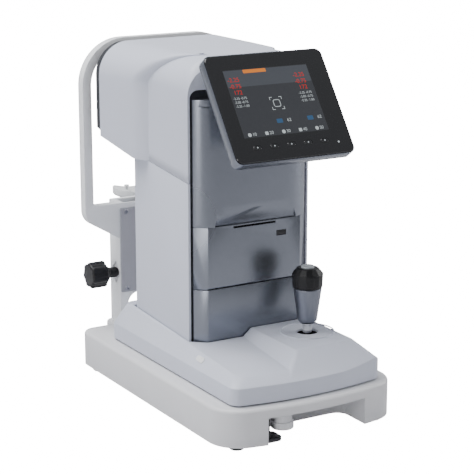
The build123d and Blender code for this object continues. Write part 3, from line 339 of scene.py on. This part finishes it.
def rounded_rectangle(half_x, half_y, radius, steps=6):
    """Corner points of a rounded rectangle, counter-clockwise."""
    points = []
    for corner, (sx, sy) in enumerate([(1, 1), (-1, 1), (-1, -1), (1, -1)]):
        for step in range(steps + 1):
            turn = radians(90 * corner + 90 * step / steps)
            x = sx * (half_x - radius) + radius * cos(turn)
            y = sy * (half_y - radius) + radius * sin(turn)
            points.append((x, y))
    return points


def circle(x, y, radius, step):
    """Points round a circle, one for each step in degrees."""
    turns = [radians(angle) for angle in range(0, 360, step)]
    return [(x + radius * cos(turn), y + radius * sin(turn)) for turn in turns]


def slab(name, outline, z0, z1, plane, holes=()):
    """A flat plate from an outline in millimetres, standing z0 to z1 above a plane."""
    solid = bmesh.new()
    edges = []
    for loop in (outline, *holes):
        corners = [solid.verts.new((x, y, z1)) for x, y in loop]
        edges += [solid.edges.new((corners[i - 1], corners[i])) for i in range(len(corners))]
    top = bmesh.ops.triangle_fill(solid, use_beauty=True, use_dissolve=False, edges=edges)
    faces = [face for face in top["geom"] if isinstance(face, bmesh.types.BMFace)]
    lower = bmesh.ops.extrude_face_region(solid, geom=faces)
    moved = [vert for vert in lower["geom"] if isinstance(vert, bmesh.types.BMVert)]
    bmesh.ops.translate(solid, verts=moved, vec=(0, 0, z0 - z1))
    bmesh.ops.recalc_face_normals(solid, faces=solid.faces)
    solid.transform(plane @ Matrix.Scale(MM, 4))
    mesh = bpy.data.meshes.new(name)
    solid.to_mesh(mesh)
    solid.free()
    return mesh


# ---------------------------------------------------------------- the display
# Its face: x to the operator's right, y up the glass, z out of it.
LEAN = radians(35.5)
GLASS = Matrix((
    (1, 0, 0, 0),
    (0, sin(LEAN), -cos(LEAN), -0.1443),
    (0, cos(LEAN), sin(LEAN), 0.3852),
    (0, 0, 0, 1),
))
LETTER_SIZE = 1.38                     # a character's size over the height of its figures
RETICLE_X, RETICLE_Y = -3.8, 2.1
BRACKET = [(7.6, 4.6), (8.3, 4.6), (8.3, 8.3), (4.6, 8.3), (4.6, 7.6), (7.6, 7.6)]
KEYS, FIRST_KEY_X, KEY_PITCH = 5, -48.7, 22.9


def glowing(name, colour, strength):
    """Something lit on the display."""
    dim = tuple(0.1 * part for part in colour)
    paint = Paint(name, dim, 0.35, Emission_Color=(*colour, 1), Emission_Strength=strength,
                  Specular_IOR_Level=0.15)
    return paint.mottle(30, 0.04).gloss(90, 0.03).material


def screen_text(name, words, x, y, height, align):
    """Characters on the display, standing just proud of it, as a mesh."""
    curve = bpy.data.curves.new(name, "FONT")
    curve.body = words
    curve.size = height * LETTER_SIZE * MM
    curve.align_x = align
    curve.extrude = 0.012 * MM
    sample = bpy.data.objects.new(name, curve)
    mesh = bpy.data.meshes.new_from_object(sample)
    bpy.data.objects.remove(sample)
    bpy.data.curves.remove(curve)
    mesh.materials.clear()
    mesh.transform(GLASS @ Matrix.Translation(Vector((x, y, 0.09)) * MM))
    mesh.name = name
    return mesh


def make_display():
    """The lit picture with its generic numbers and marks, the dots on the keys, which carry a painted
    glow, and the lamp.
    """
    back = glowing("display_grey", (0.055, 0.058, 0.066), 0.80)
    header = glowing("display_header", (0.11, 0.12, 0.14), 0.60)
    amber = glowing("display_amber", (0.80, 0.24, 0.04), 0.9)
    red = glowing("display_red", (0.70, 0.035, 0.025), 0.8)
    white = glowing("display_white", (0.62, 0.68, 0.70), 0.8)
    blue = glowing("display_blue", (0.05, 0.13, 0.26), 0.7)

    def plate(name, material, x, y, width, height, radius, low, high):
        outline = [(x + a, y + b) for a, b in rounded_rectangle(width / 2, height / 2, radius)]
        piece(name, slab(name, outline, low, high, GLASS), material, "monitor")

    def box_line(name, material, x, y, width, height, radius, line):
        outer = [(x + a, y + b) for a, b in rounded_rectangle(width / 2, height / 2, radius)]
        hole = rounded_rectangle(width / 2 - line, height / 2 - line, radius - line)
        inner = [(x + a, y + b) for a, b in hole]
        piece(name, slab(name, outer, 0.03, 0.09, GLASS, [inner]), material, "monitor")

    def words(name, material, text, x, y, height, align="LEFT"):
        piece(name, screen_text(name, text, x, y, height, align), material, "monitor")

    plate("display_picture", back, -4, 5.5, 115, 87, 0.6, 0.003, 0.02)
    plate("display_header_band", header, -4, 37.5, 114, 21.5, 0.6, 0.02, 0.04)
    plate("display_tab", amber, -19.5, 46.0, 31, 4.6, 0.8, 0.04, 0.07)
    plate("display_tab_right", header, 22.0, 46.0, 42, 4.6, 0.8, 0.04, 0.07)
    for side, x in (("left", -59), ("right", 30)):
        words(f"display_{side}_sphere", red, "-2.25", x, 33.6, 5.6)
        words(f"display_{side}_cylinder", red, "-0.75", x, 25.2, 5.6)
        words(f"display_{side}_axis", red, "172", x + 3, 17.2, 5.6)
        words(f"display_{side}_record_1", white, "-2.25 -0.75", x, 11.0, 3.0)
        words(f"display_{side}_record_2", white, "-2.00 -0.75", x, 6.0, 3.0)
        words(f"display_{side}_record_3", white, "-2.25 -1.00", x, 1.0, 3.0)
    box_line("display_reticle", white, RETICLE_X, RETICLE_Y, 9.6, 9.6, 2.6, 0.8)
    for number, (sx, sy) in enumerate([(-1, -1), (1, -1), (1, 1), (-1, 1)], start=1):
        name = f"display_bracket_{number}"
        bracket = [(RETICLE_X + sx * a, RETICLE_Y + sy * b) for a, b in BRACKET]
        piece(name, slab(name, bracket, 0.03, 0.08, GLASS), white, "monitor")
    for side, x in (("left", -8), ("right", 34)):
        plate(f"display_{side}_field", blue, x, -20.5, 8, 5.4, 0.8, 0.03, 0.06)
        words(f"display_{side}_field_number", white, "62", x + 10, -22.2, 4.2)
    square, disc = rounded_rectangle(2.1, 2.1, 0.6), rounded_rectangle(2.3, 2.3, 2.1)
    for index in range(KEYS):
        x, number = FIRST_KEY_X + KEY_PITCH * index, index + 1
        name = f"display_mark_{number}"
        outline = [(x - 4.6 + a, -34.4 + b) for a, b in (square if index % 2 else disc)]
        piece(name, slab(name, outline, 0.03, 0.08, GLASS), white, "monitor")
        words(f"display_mark_number_{number}", white, str(10 * number), x - 1, -36.0, 4.0)
    # The white dots on the keys glow with the display's emission, though the keys are no lamp: a
    # painted glow.
    for index in range(KEYS):
        name = f"key_dot_{index + 1}"
        dot = circle(FIRST_KEY_X + KEY_PITCH * index, -51, 0.9, 30)
        piece(name, slab(name, dot, 0.31, 0.36, GLASS), white, f"key_{index + 1}")
    lamp = circle(61, -54.7, 1.3, 20)
    piece("power_lamp", slab("power_lamp", lamp, 0.003, 0.12, GLASS), white, "monitor")


# ---------------------------------------------------------------- the small pieces
BADGE_X, BADGE_Y, BADGE_Z = -95.2, -121, 83.5      # its middle, on the bevel of the stage cover
PAD_PLATE_Y, PAD_HALF_LENGTH, PAD_MIDDLE_Z, PAD_HALF_HEIGHT = 164.05, 55.6, 409.5, 11.8
PAD_THICKNESS, PAD_CURVE, PAD_THINNEST = 6, 4.6, 0.35
PIN_X, PIN_Y = 27.0, 202
PIN_PROFILE = ((219.0, 1.5), (226.2, 1.5), (226.6, 3.4), (227.9, 3.6), (228.3, 3.2))  # height, radius


def make_stage_badge(material):
    """The small plain pad embossed on the bevel along the stage's left edge."""
    across = Vector((13.5, 0, 15.2)).normalized()
    along = Vector((0, -1, -0.06)).normalized()
    out = along.cross(across)
    if out.z < 0:
        out = -out
    plane = Matrix((
        (along.x, across.x, out.x, BADGE_X * MM),
        (along.y, across.y, out.y, BADGE_Y * MM),
        (along.z, across.z, out.z, BADGE_Z * MM),
        (0, 0, 0, 1),
    ))
    mesh = slab("stage_badge", rounded_rectangle(8, 3.6, 3.4), -0.8, 0.9, plane)
    badge = piece("stage_badge", mesh, material, "stage")
    edge = badge.modifiers.new("edges", "BEVEL")
    edge.width = 0.3 * MM
    edge.segments = 2


def soft_block(name, sections):
    """A soft body lofted through loops of points in metres."""
    mesh = bpy.data.meshes.new(name)
    points = [point for loop in sections for point in loop]
    count = len(sections[0])
    faces = []
    for row in range(len(sections) - 1):
        for i in range(count):
            a, b = row * count + i, row * count + (i + 1) % count
            faces.append((a, b, b + count, a + count))
    faces.append(tuple(range(count))[::-1])
    faces.append(tuple(range(len(points) - count, len(points))))
    mesh.from_pydata([tuple(point) for point in points], [], faces)
    solid = bmesh.new()
    solid.from_mesh(mesh)
    bmesh.ops.recalc_face_normals(solid, faces=solid.faces)
    solid.to_mesh(mesh)
    solid.free()
    mesh.shade_smooth()
    return mesh


def make_forehead_pad(material):
    """The silicone pad: a curved, pillowed strip on the headrest's upper plate."""
    sections = []
    for step in range(33):
        along = -1 + step / 16
        x = PAD_HALF_LENGTH * along
        shrink = max(0.04, (1 - abs(along) ** 7)) ** 0.5
        thin = max(PAD_THINNEST, shrink)
        face = PAD_PLATE_Y + PAD_THICKNESS + PAD_CURVE * along ** 2
        middle_y, half_y = (PAD_PLATE_Y + face) / 2, (face - PAD_PLATE_Y) / 2 * thin
        loop = []
        for turn in range(24):
            angle = radians(15 * turn)
            c, s = cos(angle), sin(angle)
            y = middle_y + half_y * math.copysign(abs(c) ** 0.55, c) - (1 - thin) * half_y * 0.4
            z = PAD_MIDDLE_Z + PAD_HALF_HEIGHT * shrink * math.copysign(abs(s) ** 0.5, s)
            loop.append((x * MM, max(y, PAD_PLATE_Y) * MM, z * MM))
        sections.append(loop)
    pad = piece("forehead_cushion", soft_block("forehead_cushion", sections), material, "base")
    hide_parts("forehead_pad")


def make_paper_pins(material):
    """The two headed pins that hold chin-rest papers on the cup."""
    for side, x in (("left", -PIN_X), ("right", PIN_X)):
        sections = [
            [(px * MM, py * MM, height * MM) for px, py in circle(x, PIN_Y, radius, 20)]
            for height, radius in PIN_PROFILE
        ]
        name = f"chin_paper_pin_{side}"
        piece(name, soft_block(name, sections), material, "chin_rest")


# ---------------------------------------------------------------- the head's shell
# In millimetres: a narrow front whose shoulders swell into a wider hood behind a crease.
HEAD_HALF, HEAD_TOP, HEAD_FRONT, HEAD_REAR = 85.0, 435.5, -75.0, 125.0
HOOD_HALF, HOOD_TOP, ARCH_HALF, ARCH_TOP = 102.0, 434.5, 82.0, 398.0
CREASE_Y, CREASE_SWEEP, SWELL_DEPTH, SWELL = 24.0, 84.0, 26.0, 12.0
LOWER_EDGE = [(-75.0, 287.3), (24.0, 298.2), (43.0, 298.7), (125.0, 315.0)]     # (y, height)
FRONT_RADIUS, HOOD_RADIUS, ARCH_RADIUS, RIM_RADIUS = 40, 42, 10, 39
FRONT_DROP, FRONT_DROP_DEPTH = 11.5, 14            # how the front edge rolls over
ARCH_REVEAL, RIM_INSET, RIM_DEPTH = 3.6, 3, 8
CLOSED_BEHIND_Y, LEDGE_INNER_X = 71, 82.4          # the underside: closed behind, a ledge ahead
SHELL_THICKNESS = 2.4


def lower_edge(y):
    """Height of the head's bottom edge at one depth."""
    for (y0, z0), (y1, z1) in zip(LOWER_EDGE, LOWER_EDGE[1:]):
        if y <= y1:
            return z0 + (z1 - z0) * (y - y0) / (y1 - y0)
    return LOWER_EDGE[-1][1]


def section_points(half, top, radius, low):
    """One side of an arched outline, from its foot to the middle of its top.

    Each point is (share of the corner's turn, x, z).
    """
    points = [(0.0, half, low + (top - radius - low) * i / 8) for i in range(8)]
    for i in range(19):
        turn = radians(5 * i)
        points.append((i / 18, half - radius + radius * cos(turn), top - radius + radius * sin(turn)))
    points += [(1.0, (half - radius) * (1 - i / 6), top) for i in range(1, 7)]
    return points


def head_station(along):
    """One row of points over the head.

    along runs 0 to 1 up to the crease, 1 to 2 over the swell, and 2 to 3 along the hood.
    """
    row = []
    turns = [turn for turn, _, _ in section_points(HEAD_HALF, HEAD_TOP, FRONT_RADIUS, LOWER_EDGE[0][1])]
    for index, turn in enumerate(turns):
        crease = CREASE_Y - CREASE_SWEEP * turn ** 1.3
        if along <= 1:
            y = HEAD_FRONT + (crease - HEAD_FRONT) * along
            swell = 0.0
        elif along <= 2:
            y = crease + SWELL_DEPTH * (along - 1)
            share = along - 1
            swell = SWELL * (share * (2 - share))
        else:
            start = crease + SWELL_DEPTH
            y = start + (HEAD_REAR - start) * (along - 2)
            swell = SWELL + (HOOD_HALF - HEAD_HALF - SWELL) * (along - 2)
        drop = FRONT_DROP * max(0.0, 1 - (y - HEAD_FRONT) / FRONT_DROP_DEPTH) ** 2.2
        fall = max(0.0, (y - CREASE_Y) / (HEAD_REAR - CREASE_Y))
        top = HEAD_TOP - drop + (HOOD_TOP - HEAD_TOP) * fall
        radius = HOOD_RADIUS
        if swell < SWELL:
            radius = FRONT_RADIUS - drop / 2 + 2 * swell / SWELL
        _, x, z = section_points(HEAD_HALF + swell, top, radius, lower_edge(y))[index]
        row.append((x, y, z))
    return row


def make_head_cover(material):
    """The head's moulding, with its swept crease, its arched front rim and its rear rim."""
    to_crease = [i / 40 for i in range(9)] + [0.2 + 0.8 * i / 14 for i in range(1, 15)]
    behind = [1 + i / 10 for i in range(1, 11)] + [2 + i / 12 for i in range(1, 13)]
    foot = lower_edge(HEAD_FRONT)
    arch = [(x, HEAD_FRONT, z) for _, x, z in section_points(ARCH_HALF, ARCH_TOP, ARCH_RADIUS, foot)]
    front_rows = [[(x, y + ARCH_REVEAL, z) for x, y, z in arch], arch]
    rim = section_points(HOOD_HALF - RIM_INSET, HOOD_TOP - RIM_INSET, RIM_RADIUS,
                         lower_edge(HEAD_REAR) + RIM_INSET)
    rear_rows = [[(x, y, z) for _, x, z in rim] for y in (HEAD_REAR, HEAD_REAR - RIM_DEPTH)]
    rows = front_rows + [head_station(step) for step in to_crease + behind] + rear_rows
    crease = len(front_rows) + len(to_crease) - 1
    solid = bmesh.new()
    grid = []
    for row in rows:
        left = [solid.verts.new((-x, y, z)) for x, y, z in row]
        right = [solid.verts.new((x, y, z)) for x, y, z in row[-2::-1]]
        grid.append(left + right)
    for first, second in zip(grid, grid[1:]):
        for i in range(len(first) - 1):
            solid.faces.new((first[i], first[i + 1], second[i + 1], second[i]))
    for a, b in zip(grid[crease], grid[crease][1:]):
        solid.edges.get((a, b)).smooth = False
    underside = grid[crease:-len(rear_rows)]
    for first, second in zip(underside, underside[1:]):
        if first[0].co.y > CLOSED_BEHIND_Y:
            solid.faces.new((first[0], second[0], second[-1], first[-1]))
        else:
            for side, corner in ((-1, 0), (1, -1)):
                inner = [
                    solid.verts.new((side * LEDGE_INNER_X, row[corner].co.y, row[corner].co.z))
                    for row in (first, second)
                ]
                solid.faces.new((first[corner], second[corner], inner[1], inner[0]))
    bmesh.ops.remove_doubles(solid, verts=solid.verts, dist=0.001)
    bmesh.ops.recalc_face_normals(solid, faces=solid.faces)
    top_face = max(solid.faces, key=lambda face: face.calc_center_median().z)
    if top_face.normal.z < 0:
        bmesh.ops.reverse_faces(solid, faces=solid.faces)
    solid.transform(Matrix.Scale(MM, 4))
    mesh = bpy.data.meshes.new("head_shell")
    solid.to_mesh(mesh)
    solid.free()
    smooth(mesh, 28)
    shell = piece("head_shell", mesh, material, "head")
    skin = shell.modifiers.new("thickness", "SOLIDIFY")
    skin.thickness = SHELL_THICKNESS * MM
    skin.offset = -1
    skin.use_even_offset = False
    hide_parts("head_cover")


# ---------------------------------------------------------------- the scene
make_camera()
make_studio()
MATERIALS = make_materials()
dress_cad(MATERIALS)
make_display()
make_forehead_pad(MATERIALS["pad"])
make_paper_pins(MATERIALS["cup"])
make_stage_badge(MATERIALS["cup"])
make_head_cover(MATERIALS["shell_white"])
